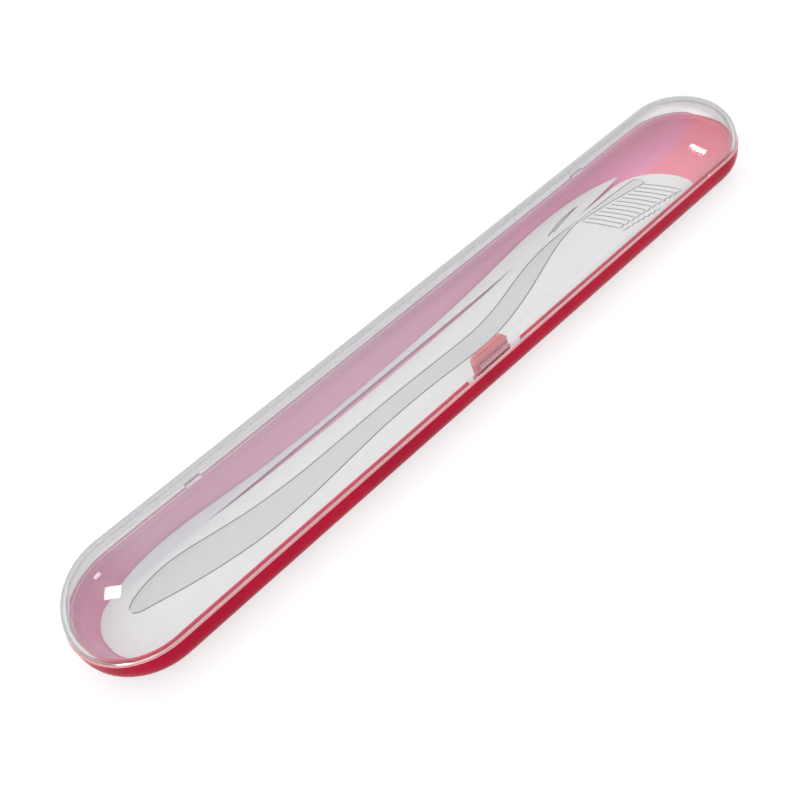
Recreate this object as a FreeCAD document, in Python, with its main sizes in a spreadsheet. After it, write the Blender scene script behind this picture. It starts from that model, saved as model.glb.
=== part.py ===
import FreeCAD, Part
import math
import os

import Sketcher

# Toothbrush case: a red tray and a clear domed lid, hinged along the far side and snapped shut at the near
# side. Millimetres. X runs along the case, -Y is the near side with the snap tongue, +Z is up, and the origin
# is the middle of the flat foot under the tray.

doc = FreeCAD.newDocument("ToothbrushCase")

# Driving dimensions
SIZES = [
    ("case_length", 205.0),
    ("case_width", 31.0),
    ("base_height", 8.4),
    ("lid_height", 11.1),
    ("base_wall", 1.4),
    ("edge_radius", 6.0),
    ("lid_wall", 1.0),
    ("shoulder_radius", 9.2),
    ("rim_bead_width", 0.3),
    ("rim_bead_height", 0.4),
    ("seam_gap", 0.05),
    ("lip_height", 0.4),
    ("lip_thickness", 0.4),
    ("lip_clearance", 0.15),
    ("lip_band_depth", 1.2),
    ("lip_gap_length", 17.0),
    ("hinge_offset", 64.0),
    ("hinge_radius", 1.0),
    ("hinge_standoff", 0.2),
    ("hinge_drop", 2.4),
    ("hinge_side_gap", 0.15),
    ("knuckle_width", 4.0),
    ("knuckle_arm", 0.8),
    ("ear_width", 2.0),
    ("pin_diameter", 0.9),
    ("pin_clearance", 0.05),
    ("latch_width", 10.5),
    ("latch_thickness", 1.0),
    ("latch_reach", 5.6),
    ("latch_lean", 10.0),
    ("latch_inset", 0.9),
    ("latch_drop", 2.0),
    ("latch_rib_radius", 0.5),
    ("latch_rib_low", 2.1),
    ("latch_rib_high", 4.8),
    ("latch_corner_radius", 1.5),
    ("socket_clearance", 0.08),
    ("socket_wall", 0.6),
    ("catch_radius", 0.3),
    ("catch_length", 9.0),
    ("card_thickness", 0.3),
    ("card_length", 180.8),
    ("card_overhang", 1.5),
    ("card_rest_gap", 0.05),
    ("card_fold_inset", 1.25),
    ("card_flap_angle", 22.0),
    ("card_flap_width", 5.6),
    ("card_end_flat", 1.4),
    ("card_front_corner", 5.0),
    ("card_near_station", 14.0),
    ("card_middle_station", 40.0),
    ("card_dip_station", 83.0),
    ("card_rise_station", 118.0),
    ("card_far_station", 36.8),
    ("card_near_reach", 2.7),
    ("card_middle_reach", 2.3),
    ("card_dip_reach", 1.6),
    ("card_rise_reach", 2.9),
    ("card_far_reach", 4.65),
    ("flap_tip_station", 8.3),
    ("flap_tip_reach", 1.35),
    ("flap_slit_start", 27.0),
    ("fold_slit_start", 30.0),
    ("fold_slit_end", 51.0),
    ("fold_slit_width", 1.45),
    ("fold_slit_shift", 0.55),
]

sheet = doc.addObject("Spreadsheet::Sheet", "Sizes")
for row, (alias, number) in enumerate(SIZES, start=1):
    sheet.set("A%d" % row, alias)
    sheet.set("B%d" % row, str(number))
    sheet.setAlias("B%d" % row, alias)
doc.recompute()


class Size:
    """A length or angle from the sheet, with the expression that gives it."""

    def __init__(self, value, text):
        self.value = value
        self.text = text

    def __add__(self, other):
        other = as_size(other)
        return Size(self.value + other.value, "(%s + %s)" % (self.text, other.text))

    def __sub__(self, other):
        other = as_size(other)
        return Size(self.value - other.value, "(%s - %s)" % (self.text, other.text))

    def __mul__(self, other):
        other = as_size(other)
        return Size(self.value * other.value, "(%s * %s)" % (self.text, other.text))

    def __truediv__(self, other):
        other = as_size(other)
        return Size(self.value / other.value, "(%s / %s)" % (self.text, other.text))

    def __neg__(self):
        return Size(-self.value, "(0 - %s)" % self.text)

    def root(self):
        return Size(math.sqrt(self.value), "sqrt(%s)" % self.text)

    def sine(self):
        return Size(math.sin(math.radians(self.value)), "sin(%s)" % self.text)

    def cosine(self):
        return Size(math.cos(math.radians(self.value)), "cos(%s)" % self.text)

    def tangent(self):
        return Size(math.tan(math.radians(self.value)), "tan(%s)" % self.text)


def as_size(number):
    return number if isinstance(number, Size) else Size(float(number), repr(float(number)))


def size(alias):
    return Size(float(sheet.get(alias)), "Sizes." + alias)


ZERO = as_size(0)
TOUCH = 1e-6

# Sizes that follow from the driving ones
half_width = size("case_width") / 2
spine = size("case_length") - size("case_width")
rim = size("base_height")
flat_half = half_width - size("edge_radius")
tray_inside = half_width - size("base_wall")
lid_outside = half_width - size("rim_bead_width")
lid_inside = lid_outside - size("lid_wall")
lid_bottom = rim + size("seam_gap")
bead_top = lid_bottom + size("rim_bead_height")
lip_outside = lid_inside - size("lip_clearance")
lip_inside = lip_outside - size("lip_thickness")
lip_top = rim + size("lip_height")
hinge_y = half_width + size("hinge_standoff") + size("hinge_radius")
hinge_z = rim - size("hinge_drop")
knuckle_half = size("knuckle_width") / 2
ear_start = knuckle_half + size("hinge_side_gap")
latch_y = -(tray_inside - size("latch_inset"))
latch_z = rim - size("latch_drop")
latch_half = size("latch_thickness") / 2
floor_curve = size("edge_radius") - size("base_wall")
card_half = flat_half + size("card_overhang")
card_fold = flat_half - size("card_fold_inset")
card_sag = (floor_curve * floor_curve - size("card_overhang") * size("card_overhang")).root()
card_bottom = size("edge_radius") - card_sag + size("card_rest_gap")
card_near_tip = -(spine / 2 + card_half)
card_far_tip = card_near_tip + size("card_length")


def origin_plane(body, role):
    """One of a body's own origin planes."""
    return next(item for item in body.Origin.OriginFeatures if item.Role == role)


def new_body(name):
    body = doc.addObject("PartDesign::Body", name)
    body.Label = name
    return body


def new_sketch(body, name, role, shift=None, lift=None):
    """A sketch on an origin plane, moved along its own X by shift and along its normal by lift."""
    sketch = body.newObject("Sketcher::SketchObject", name)
    sketch.AttachmentSupport = [(origin_plane(body, role), "")]
    sketch.MapMode = "FlatFace"
    if shift is not None:
        sketch.setExpression("AttachmentOffset.Base.x", shift.text)
    if lift is not None:
        sketch.setExpression("AttachmentOffset.Base.z", lift.text)
    doc.recompute()
    return sketch


def hold(sketch, kind, geometry, position, distance):
    """Bind one coordinate of a sketch point to its size."""
    axis_line = -2 if kind == "DistanceX" else -1
    if distance is ZERO:
        sketch.addConstraint(Sketcher.Constraint("PointOnObject", geometry, position, axis_line))
        return
    if distance.value >= 0:
        ends = (-1, 1, geometry, position)
    else:
        ends = (geometry, position, -1, 1)
        distance = -distance
    number = sketch.addConstraint(Sketcher.Constraint(kind, *ends, distance.value))
    sketch.setExpression("Constraints[%d]" % number, distance.text)


def hold_radius(sketch, geometry, radius):
    number = sketch.addConstraint(Sketcher.Constraint("Radius", geometry, radius.value))
    sketch.setExpression("Constraints[%d]" % number, radius.text)


def vector(corner):
    return FreeCAD.Vector(corner[0].value, corner[1].value, 0)


def arc_between(start, end, centre, turns_left):
    """A circular arc; sketches keep arcs turning left, so one that turns right is stored backwards."""
    first, last = (start, end) if turns_left else (end, start)
    middle = vector(centre)
    spokes = [vector(first) - middle, vector(last) - middle]
    angles = [math.atan2(spoke.y, spoke.x) for spoke in spokes]
    if angles[1] <= angles[0]:
        angles[1] += 2 * math.pi
    circle = Part.Circle(middle, FreeCAD.Vector(0, 0, 1), spokes[0].Length)
    return Part.ArcOfCircle(circle, angles[0], angles[1])


def spline_through(points):
    curve = Part.BSplineCurve()
    curve.interpolate([vector(point) for point in points])
    return curve


def outline(sketch, edges):
    """Draw a closed outline. Each edge is its first corner, then what leads to the next corner: nothing for
    a line, (centre, turns_left) for an arc, or a list of points between for a curve."""
    pieces = []
    for (start, way), (end, _) in zip(edges, edges[1:] + edges[:1]):
        if way is None:
            number = sketch.addGeometry(Part.LineSegment(vector(start), vector(end)), False)
            pieces.append((number, 1, 2))
        elif isinstance(way, list):
            number = sketch.addGeometry(spline_through([start] + way + [end]), False)
            pieces.append((number, 1, 2))
        else:
            centre, turns_left = way
            number = sketch.addGeometry(arc_between(start, end, centre, turns_left), False)
            pieces.append((number, 1, 2) if turns_left else (number, 2, 1))
    held_by_curve = set()
    for piece, following, (_, way) in zip(pieces, pieces[1:] + pieces[:1], edges):
        if isinstance(way, list):
            sketch.addConstraint(Sketcher.Constraint("Block", piece[0]))
            held_by_curve.update((piece[0], following[0]))
        joint = (piece[0], piece[2], following[0], following[1])
        sketch.addConstraint(Sketcher.Constraint("Coincident", *joint))
    for piece, (start, _) in zip(pieces, edges):
        if piece[0] not in held_by_curve:
            hold(sketch, "DistanceX", piece[0], piece[1], start[0])
            hold(sketch, "DistanceY", piece[0], piece[1], start[1])
    for piece, (start, way), (end, _) in zip(pieces, edges, edges[1:] + edges[:1]):
        if isinstance(way, tuple):
            chord = vector(end) - vector(start)
            across = 1 if abs(chord.x) > abs(chord.y) else 0
            hold(sketch, ("DistanceX", "DistanceY")[across], piece[0], 3, way[0][across])


def ring(sketch, centre, radius):
    """Draw a whole circle."""
    circle = Part.Circle(vector(centre), FreeCAD.Vector(0, 0, 1), radius.value)
    number = sketch.addGeometry(circle, False)
    hold(sketch, "DistanceX", number, 3, centre[0])
    hold(sketch, "DistanceY", number, 3, centre[1])
    hold_radius(sketch, number, radius)


def pad(body, name, sketch, length, symmetric=False, backwards=False):
    feature = body.newObject("PartDesign::Pad", name)
    feature.Profile = sketch
    feature.SideType = "Symmetric" if symmetric else "One side"
    feature.Reversed = backwards
    feature.setExpression("Length", length.text)
    doc.recompute()
    return feature


def pocket(body, name, sketch, length, symmetric=False, backwards=False):
    """Cut a pocket and make sure that it took something away."""
    before = body.Shape.Volume
    feature = body.newObject("PartDesign::Pocket", name)
    feature.Profile = sketch
    feature.SideType = "Symmetric" if symmetric else "One side"
    feature.Reversed = backwards
    feature.setExpression("Length", length.text)
    doc.recompute()
    if not body.Shape.Volume < before:
        raise RuntimeError(name + " cuts nothing")
    return feature


def half_turn(body, name, sketch):
    """Turn an end section through half a circle about its upright axis."""
    feature = body.newObject("PartDesign::Revolution", name)
    feature.Profile = sketch
    feature.ReferenceAxis = (sketch, ["V_Axis"])
    feature.Angle = 180
    feature.Midplane = True
    doc.recompute()
    return feature


def mirror(body, name, features, role):
    feature = body.newObject("PartDesign::Mirrored", name)
    feature.Originals = features
    feature.MirrorPlane = (origin_plane(body, role), [""])
    body.Tip = feature
    doc.recompute()
    return feature


def capsule_shell(body, half_section):
    """A long shell with round ends, from the half section of its wall."""
    side = new_sketch(body, body.Name + "_side", "YZ_Plane")
    outline(side, half_section)
    straight = pad(body, body.Name + "_straight", side, spine, symmetric=True)
    mirror(body, body.Name + "_both_sides", [straight], "XZ_Plane")
    end = new_sketch(body, body.Name + "_end", "XZ_Plane", shift=spine / 2)
    outline(end, half_section)
    turned = half_turn(body, body.Name + "_round_end", end)
    mirror(body, body.Name + "_both_ends", [turned], "YZ_Plane")


def tray_section():
    """Half section of the tray: flat foot, rounded lower edge, wall, and the lip on its thickened rim."""
    radius = size("edge_radius")
    wall = size("base_wall")
    centre = (flat_half, radius)
    band_bottom = rim - size("lip_band_depth")
    slope_bottom = band_bottom - (tray_inside - lip_inside)
    return [
        ((ZERO, ZERO), None),
        ((flat_half, ZERO), (centre, True)),
        ((half_width, radius), None),
        ((half_width, rim), None),
        ((lip_outside, rim), None),
        ((lip_outside, lip_top), None),
        ((lip_inside, lip_top), None),
        ((lip_inside, band_bottom), None),
        ((tray_inside, slope_bottom), None),
        ((tray_inside, radius), (centre, False)),
        ((flat_half, wall), None),
        ((ZERO, wall), None),
    ]


def ear_outline():
    """Hinge ear: a barrel on a short web from the tray's wall."""
    root = half_width - size("base_wall") / 2
    radius = size("hinge_radius")
    return [
        ((root, hinge_z), None),
        ((hinge_y - radius, hinge_z), ((hinge_y, hinge_z), False)),
        ((hinge_y, hinge_z - radius), None),
        ((root, hinge_z - radius), None),
    ]


def socket_outline():
    """Bracket on the tray's near wall that carries the root of the snap tongue."""
    root = -(half_width - size("base_wall") / 2)
    radius = latch_half + size("socket_clearance")
    front = latch_y + radius + size("socket_wall")
    bottom = latch_z - radius - size("socket_wall")
    return [
        ((root, latch_z), None),
        ((latch_y - radius, latch_z), ((latch_y, latch_z), True)),
        ((latch_y + radius, latch_z), None),
        ((front, latch_z), None),
        ((front, bottom), None),
        ((root, bottom), None),
    ]


def rectangle(left, right, low, high):
    return [((left, low), None), ((right, low), None), ((right, high), None), ((left, high), None)]


def make_base_tray():
    body = new_body("base_tray")
    capsule_shell(body, tray_section())
    gap = new_sketch(body, "lip_gap", "XY_Plane", lift=lip_top)
    gap_half = size("lip_gap_length") / 2
    outline(gap, rectangle(-gap_half, gap_half, -tray_inside, -(lip_inside - size("lip_thickness"))))
    slope = tray_inside - lip_inside
    pocket(body, "lip_gap_cut", gap, size("lip_height") + size("lip_band_depth") + slope)
    socket = new_sketch(body, "latch_socket", "YZ_Plane")
    outline(socket, socket_outline())
    pad(body, "latch_socket_pad", socket, size("latch_width"), symmetric=True)
    ears = []
    for side, place, backwards in (("outer", ear_start, False), ("inner", -ear_start, True)):
        ear = new_sketch(body, "ear_" + side, "YZ_Plane", lift=size("hinge_offset") + place)
        outline(ear, ear_outline())
        ring(ear, (hinge_y, hinge_z), size("pin_diameter") / 2)
        ears.append(pad(body, "ear_" + side + "_pad", ear, size("ear_width"), backwards=backwards))
    mirror(body, "ears_both_hinges", ears, "YZ_Plane")
    return body


def dome_section():
    """Half section of the lid: rim bead, shoulder arc and crown arc, at an even wall."""
    wall = size("lid_wall")
    bead = size("rim_bead_width")
    shoulder = size("shoulder_radius")
    rise = size("lid_height") - size("seam_gap")
    shoulder_y = lid_outside - shoulder
    crown = (shoulder_y * shoulder_y + rise * rise - shoulder * shoulder) / ((rise - shoulder) * 2)
    shoulder_centre = (shoulder_y, lid_bottom)
    crown_centre = (ZERO, lid_bottom + rise - crown)
    slope_y = shoulder_y / (crown - shoulder)
    slope_z = (crown - rise) / (crown - shoulder)
    inner = shoulder - wall
    outer_joint = (shoulder_y + shoulder * slope_y, lid_bottom + shoulder * slope_z)
    inner_joint = (shoulder_y + inner * slope_y, lid_bottom + inner * slope_z)
    bead_height = size("rim_bead_height")
    dome_start = shoulder_y + (shoulder * shoulder - bead_height * bead_height).root()
    bead_centre = (half_width - bead, bead_top - bead)
    return [
        ((lid_inside, lid_bottom), None),
        ((half_width, lid_bottom), None),
        ((half_width, bead_top - bead), (bead_centre, True)),
        ((half_width - bead, bead_top), None),
        ((dome_start, bead_top), (shoulder_centre, True)),
        (outer_joint, (crown_centre, True)),
        ((ZERO, lid_bottom + rise), None),
        ((ZERO, lid_bottom + rise - wall), (crown_centre, False)),
        (inner_joint, (shoulder_centre, False)),
    ]


def knuckle_outline():
    """Hinge knuckle: a barrel on an arm that hangs from the lid's rim bead behind the tray's wall."""
    root = lid_outside - size("lid_wall") / 2
    radius = size("hinge_radius")
    arm = size("knuckle_arm")
    arm_front = hinge_y - radius
    arm_back = arm_front + arm
    arm_foot = hinge_z + (radius * radius - (radius - arm) * (radius - arm)).root()
    return [
        ((root, lid_bottom), None),
        ((arm_front, lid_bottom), None),
        ((arm_front, hinge_z), ((hinge_y, hinge_z), True)),
        ((arm_back, arm_foot), None),
        ((arm_back, bead_top), None),
        ((root, bead_top), None),
    ]


def make_lid():
    body = new_body("lid")
    capsule_shell(body, dome_section())
    catch = new_sketch(body, "catch", "YZ_Plane")
    groove = (size("latch_rib_low") + size("latch_rib_high")) / 2
    catch_z = latch_z + groove * size("latch_lean").cosine() + latch_half * size("latch_lean").sine()
    catch_rise = catch_z - lid_bottom
    inner = size("shoulder_radius") - size("lid_wall")
    catch_y = lid_outside - size("shoulder_radius") + (inner * inner - catch_rise * catch_rise).root()
    ring(catch, (-catch_y, catch_z), size("catch_radius"))
    pad(body, "catch_rib", catch, size("catch_length"), symmetric=True)
    knuckle = new_sketch(body, "knuckle", "YZ_Plane", lift=size("hinge_offset"))
    outline(knuckle, knuckle_outline())
    ring(knuckle, (hinge_y, hinge_z), size("pin_diameter") / 2 + size("pin_clearance"))
    knuckle_pad = pad(body, "knuckle_pad", knuckle, size("knuckle_width"), symmetric=True)
    mirror(body, "knuckles_both_hinges", [knuckle_pad], "YZ_Plane")
    return body


def tongue_outline():
    """Section of the snap tongue about its root: round foot, flat back, two ribs on the outer face."""
    foot = ((-latch_half, ZERO), ((ZERO, ZERO), True))
    edges = [foot, ((latch_half, ZERO), None), ((latch_half, size("latch_reach")), None)]
    edges.append(((-latch_half, size("latch_reach")), None))
    for height in (size("latch_rib_high"), size("latch_rib_low")):
        radius = size("latch_rib_radius")
        edges.append(((-latch_half, height + radius), ((-latch_half, height), True)))
        edges.append(((-latch_half, height - radius), None))
    return edges


def top_corner_edges(shape):
    """The names of the two short edges at the tongue's upper corners."""
    names = []
    top = shape.BoundBox.ZMax
    for number, edge in enumerate(shape.Edges, start=1):
        box = edge.BoundBox
        at_top = box.ZMin > top - TOUCH
        along_depth = box.XLength < TOUCH and box.YLength > TOUCH
        if at_top and along_depth:
            names.append("Edge%d" % number)
    return names


def make_latch_tongue():
    body = new_body("latch_tongue")
    section = new_sketch(body, "tongue_section", "YZ_Plane")
    outline(section, tongue_outline())
    slab = pad(body, "tongue_pad", section, size("latch_width"), symmetric=True)
    corners = body.newObject("PartDesign::Fillet", "tongue_corners")
    corners.Base = (slab, top_corner_edges(slab.Shape))
    corners.setExpression("Radius", "Sizes.latch_corner_radius")
    body.Placement = FreeCAD.Placement(FreeCAD.Vector(), FreeCAD.Rotation(FreeCAD.Vector(-1, 0, 0), 1))
    body.setExpression("Placement.Base.y", latch_y.text)
    body.setExpression("Placement.Base.z", latch_z.text)
    body.setExpression("Placement.Rotation.Angle", "Sizes.latch_lean")
    doc.recompute()
    return body


def card_section():
    """Section of the card: flat between the tray's rounded corners, with its far edge folded up."""
    thick = size("card_thickness")
    angle = size("card_flap_angle")
    flap_y = card_fold + size("card_flap_width") * angle.cosine()
    flap_z = card_bottom + size("card_flap_width") * angle.sine()
    return [
        ((-card_half, card_bottom), None),
        ((card_fold, card_bottom), None),
        ((flap_y, flap_z), None),
        ((flap_y - thick * angle.sine(), flap_z + thick * angle.cosine()), None),
        ((card_fold - thick * (angle / 2).tangent(), card_bottom + thick), None),
        ((-card_half, card_bottom + thick), None),
    ]


def card_outline():
    """The card seen from above: a round near end, a far end with two corners, a wavy flap with a free tip."""
    front_corner = size("card_front_corner")
    fold_corner = card_half + card_fold - size("card_end_flat") - front_corner
    front_centre = (card_far_tip - front_corner, front_corner - card_half)
    fold_centre = (card_far_tip - fold_corner, card_fold - fold_corner)
    near_centre = (-(spine / 2), ZERO)
    flap_tip = (card_far_tip - size("flap_tip_station"), card_fold + size("flap_tip_reach"))
    flap_start = -(spine / 2) - (card_half * card_half - card_fold * card_fold).root()
    wave = [
        (card_far_tip - size("card_far_station"), card_fold + size("card_far_reach")),
        (card_near_tip + size("card_rise_station"), card_fold + size("card_rise_reach")),
        (card_near_tip + size("card_dip_station"), card_fold + size("card_dip_reach")),
        (card_near_tip + size("card_middle_station"), card_fold + size("card_middle_reach")),
        (card_near_tip + size("card_near_station"), card_fold + size("card_near_reach")),
    ]
    return [
        ((-(spine / 2), -card_half), None),
        ((card_far_tip - front_corner, -card_half), (front_centre, True)),
        ((card_far_tip, front_corner - card_half), None),
        ((card_far_tip, card_fold - fold_corner), (fold_centre, True)),
        ((card_far_tip - fold_corner, card_fold), None),
        ((card_far_tip - size("flap_slit_start"), card_fold), None),
        (flap_tip, wave),
        ((flap_start, card_fold), (near_centre, True)),
    ]


def slit_outline():
    """A slit along the fold, widest in its middle."""
    start = card_near_tip + size("fold_slit_start")
    end = card_far_tip - size("fold_slit_end")
    line = card_fold + size("fold_slit_shift")
    middle = ((start + end) / 2, line - size("fold_slit_width"))
    return [((end, line), None), ((start, line), [middle])]


def make_insert_card():
    body = new_body("insert_card")
    section = new_sketch(body, "card_section", "YZ_Plane", lift=card_near_tip)
    outline(section, card_section())
    pad(body, "card_sheet", section, size("card_length"))
    plan = new_sketch(body, "card_plan", "XY_Plane")
    beyond_x = size("case_length")
    beyond_y = size("case_width")
    outline(plan, rectangle(-beyond_x, beyond_x, -beyond_y, beyond_y))
    outline(plan, card_outline())
    pocket(body, "card_trim", plan, size("base_height"), backwards=True)
    slit = new_sketch(body, "fold_slit", "XY_Plane")
    outline(slit, slit_outline())
    pocket(body, "fold_slit_cut", slit, size("base_height"), backwards=True)
    return body


def make_hinge_pin(name, side):
    """A plain pin through one hinge."""
    length = size("knuckle_width") + (size("hinge_side_gap") + size("ear_width")) * 2
    pin = doc.addObject("Part::Cylinder", name)
    pin.Label = name
    pin.setExpression("Radius", (size("pin_diameter") / 2).text)
    pin.setExpression("Height", length.text)
    pin.Placement = FreeCAD.Placement(FreeCAD.Vector(), FreeCAD.Rotation(FreeCAD.Vector(0, 1, 0), 90))
    pin.setExpression("Placement.Base.x", (size("hinge_offset") * side - length / 2).text)
    pin.setExpression("Placement.Base.y", hinge_y.text)
    pin.setExpression("Placement.Base.z", hinge_z.text)
    doc.recompute()
    return pin


def check(parts):
    """Stop before writing anything if a feature failed or a piece isn't one sound solid."""
    for item in doc.Objects:
        if "Invalid" in item.State or "Error" in item.State:
            raise RuntimeError(item.Name + " failed")
    for part in parts:
        if part.Shape.isNull() or not part.Shape.isValid() or len(part.Shape.Solids) != 1:
            raise RuntimeError(part.Label + " isn't one sound solid")


def write(parts):
    os.makedirs("parts", exist_ok=True)
    for part in parts:
        part.Shape.exportStep(os.path.join("parts", part.Label + ".step"))
        print(part.Label, "%.1f mm3" % part.Shape.Volume)


pieces = [
    make_base_tray(),
    make_lid(),
    make_latch_tongue(),
    make_insert_card(),
    make_hinge_pin("hinge_pin_left", -1),
    make_hinge_pin("hinge_pin_right", 1),
]
doc.recompute()
check(pieces)
write(pieces)
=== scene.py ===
import math

import bpy
from bpy.props import FloatProperty, FloatVectorProperty, IntProperty, PointerProperty
from bpy.types import Operator, Panel, PropertyGroup
from mathutils import Matrix, Vector


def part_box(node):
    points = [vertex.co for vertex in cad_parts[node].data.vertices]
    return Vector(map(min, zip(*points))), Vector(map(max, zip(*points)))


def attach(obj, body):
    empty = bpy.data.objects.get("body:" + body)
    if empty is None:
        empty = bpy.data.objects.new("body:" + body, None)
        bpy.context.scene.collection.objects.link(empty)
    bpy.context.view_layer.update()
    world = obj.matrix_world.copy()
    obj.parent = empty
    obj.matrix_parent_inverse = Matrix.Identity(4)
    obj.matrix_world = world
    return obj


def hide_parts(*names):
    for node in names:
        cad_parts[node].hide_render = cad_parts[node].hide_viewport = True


bl_info = {
    "name": "Toothbrush Case",
    "version": (1, 0, 0),
    "blender": (4, 5, 0),
    "location": "3D View > Sidebar > Case",
    "description": "Finishes for a red toothbrush case with a clear lid and a printed card",
    "category": "Object",
}

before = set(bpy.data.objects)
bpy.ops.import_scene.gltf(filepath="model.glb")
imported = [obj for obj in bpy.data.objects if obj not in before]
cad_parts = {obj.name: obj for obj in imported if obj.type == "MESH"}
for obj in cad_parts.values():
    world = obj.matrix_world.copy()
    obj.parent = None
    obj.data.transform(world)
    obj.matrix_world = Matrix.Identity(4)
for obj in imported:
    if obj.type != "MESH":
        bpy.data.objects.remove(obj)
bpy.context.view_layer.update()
tray_low, tray_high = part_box("base_tray")
card_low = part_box("insert_card")[0]

MM = 0.001
CASE_HALF_WIDTH = -tray_low.y
SPINE_HALF = tray_high.x - CASE_HALF_WIDTH
LIP_HEIGHT = 0.4 * MM
RIM_HEIGHT = tray_high.z - LIP_HEIGHT
RIM_BEAD = 0.4 * MM
CARD_THICKNESS = 0.3 * MM
CARD_TOP = card_low.z + CARD_THICKNESS
FOLD_Y = 8.25 * MM
FLAP_ANGLE = math.radians(22)

# The plastics: how they bend light, and how little the tray shines.
TRAY_IOR = 1.49
TRAY_SHINE = 0.04
LID_IOR = 1.59

# Where one tone gives way to the next, from and to: along the case (X), across it (Y) or up it (Z).
# Most of these place painted light: glow and shade in the tray, light bands on the tongue and shade
# on the card's fold.
LIP_Z = (RIM_HEIGHT - 0.05 * MM, RIM_HEIGHT + 0.05 * MM)
FAR_LIP_GLOW_Y = (0.0, 4.0 * MM)
DEEP_GLOW_X = (-20.0 * MM, 75.0 * MM)
NEAR_SHADE_X = (-78.0 * MM, -94.0 * MM)
FAR_GLOW_X = (66.0 * MM, 82.0 * MM)
BARE_GLOW_Y = (8.5 * MM, 2.0 * MM)
GROOVE_LIGHT_Z = (RIM_HEIGHT + 1.6 * MM, RIM_HEIGHT + 2.1 * MM)
TIP_HIGHLIGHT_Z = (RIM_HEIGHT + 2.6 * MM, RIM_HEIGHT + 2.9 * MM)
FAR_RIM_Y = (0.0, 6.0 * MM)
TURNED_UP_Y = (FOLD_Y - 0.3 * MM, FOLD_Y + 0.8 * MM)
FOLD_SHADE_X = (15.0 * MM, -25.0 * MM)

# How far the lid's surface turns away, 0 seen straight on and 1 edge on: where its tint, partly
# painted shade, deepens and where its grey outline of painted shade sets in, from and to, and how
# strong that outline gets.
LID_SLANT = (0.29, 0.48)
LID_EDGE_ON = (0.56, 0.8)
OUTLINE_STRENGTH = 0.9

# The lid's mesh: points this close are one, faces this flat are one, the round ends are cut off
# here, edges sharper than this stay sharp, and the bead's faces lie within these limits.
MERGE_DISTANCE = 0.000002
FLAT_ANGLE = math.radians(0.5)
END_CUT = SPINE_HALF - 0.5 * MM
SMOOTH_ANGLE = math.radians(35)
BEAD_DEPTH = 0.35 * MM
BEAD_SLACK = 0.1 * MM

# A printed strip: its first face's length, how close points count as one end, and its smoothing.
STRIP_START = 0.2 * MM
SAME_PLACE = 0.01 * MM
STRIP_LEVELS = 3

# The drawn handle, from its tip to its neck: place along the case, middle across it and half
# width, in mm.
HANDLE_STATIONS = (
    (-90.3, 3.4, 1.0),
    (-89.5, 3.4, 1.7),
    (-87.8, 3.5, 2.4),
    (-85.0, 3.6, 3.2),
    (-78.5, 2.98, 4.6),
    (-70.5, 1.3, 4.7),
    (-61.5, -0.4, 4.4),
    (-54.5, -0.9, 4.0),
    (-45.0, -1.1, 3.5),
    (-28.0, -0.3, 2.8),
    (-18.0, -0.2, 2.7),
    (-6.0, -0.6, 2.7),
    (5.0, -1.5, 3.0),
    (12.0, -1.1, 2.9),
    (20.0, 0.4, 2.9),
    (31.5, 3.8, 2.8),
    (40.5, 6.0, 1.8),
    (48.5, 7.0, 0.8),
    (54.5, 7.0, 0.4),
)

# The drawn head plate, in the same way.
HEAD_STATIONS = (
    (54.0, 6.7, 0.4),
    (58.0, 6.4, 0.6),
    (64.0, 5.8, 1.0),
    (70.0, 5.0, 1.4),
    (75.5, 4.1, 1.8),
    (76.6, 3.9, 1.8),
)

# The lower edge of that plate: its ends along the case and across it, in mm.
PLATE_EDGE = ((54.6, 5.7), (75.6, 2.0))

# A bristle line: how far it bows out, in mm, and the shares of its length where it is shaped.
BRISTLE_BOW = 0.35
BRISTLE_SHARES = (0.0, 0.25, 0.5, 0.75, 1.0)

# The wavy lines along the bristle ends: each one's drop below the plate's edge and its share of
# that edge, then their wave and their shift along the case, in mm, and their points to a bristle.
TIP_LINES = ((9.6, 1.0), (11.2, 0.6))
TIP_WAVE = 0.28
TIP_SHIFT = 2.4
TIP_POINTS = 4

# The leaf on the fold: the bulge, start and end of each line, then its place across the case and
# its drift from there, in mm, and the steps it is drawn in.
LEAF_LINES = ((0.6, 45.0, 58.5), (0.1, 47.0, 57.5))
LEAF_ACROSS = 9.3
LEAF_DRIFT = 1.3
LEAF_STEPS = 8

# The floor: its size, how far it lies under the case, its grey and its glow.
FLOOR_SIZE = 6.0
FLOOR_DROP = 0.0001
FLOOR_GREY = 0.4
FLOOR_GLOW = 0.68

# The studio: its tint, the way to its far side, and where that side and its height set in.
SKY_TINT = (0.98, 0.99, 1.0, 1.0)
BEHIND_CASE = (0.25, 0.94, -0.21)
BEHIND_EDGE = (-0.15, 0.15)
SKY_HEIGHT = (0.1, 0.5)

# The camera's sensor, in mm, and the range that it sees.
SENSOR_WIDTH = 36.0
CLIP_RANGE = (0.01, 20.0)

# The windows of light: how far they stand from the lid, and how bright they are.
LAMP_DISTANCE = 0.5
LAMP_BRIGHTNESS = 10.0

# The point of the lid that shows the near windows, and for each of them the way from there, its
# long axis and its size.
NEAR_GLINT = (-0.0907, -0.0044, 0.0186)
NEAR_WINDOWS = (
    ("near_window", (-0.325, 0.3, 0.898), (0.61, -0.67, 0.42), (0.11, 0.155)),
    ("small_window", (-0.263, 0.76, 0.595), (1.0, 0.0, 0.4), (0.02, 0.05)),
)

# The short bright bar in the lid's far end: the size of one lamp, and lamp by lamp the point of
# the lid that shows it, in mm, and the way from there to the lamp.
FAR_LAMP_SIZE = (0.003, 0.08)
FAR_BAR = (
    ((78.6, -11.1, 16.1), (0.701, -0.341, 0.626)),
    ((79.1, -11.8, 15.6), (0.702, -0.444, 0.557)),
    ((79.6, -12.4, 15.1), (0.703, -0.536, 0.467)),
    ((80.2, -13.0, 14.5), (0.704, -0.611, 0.362)),
)


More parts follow.
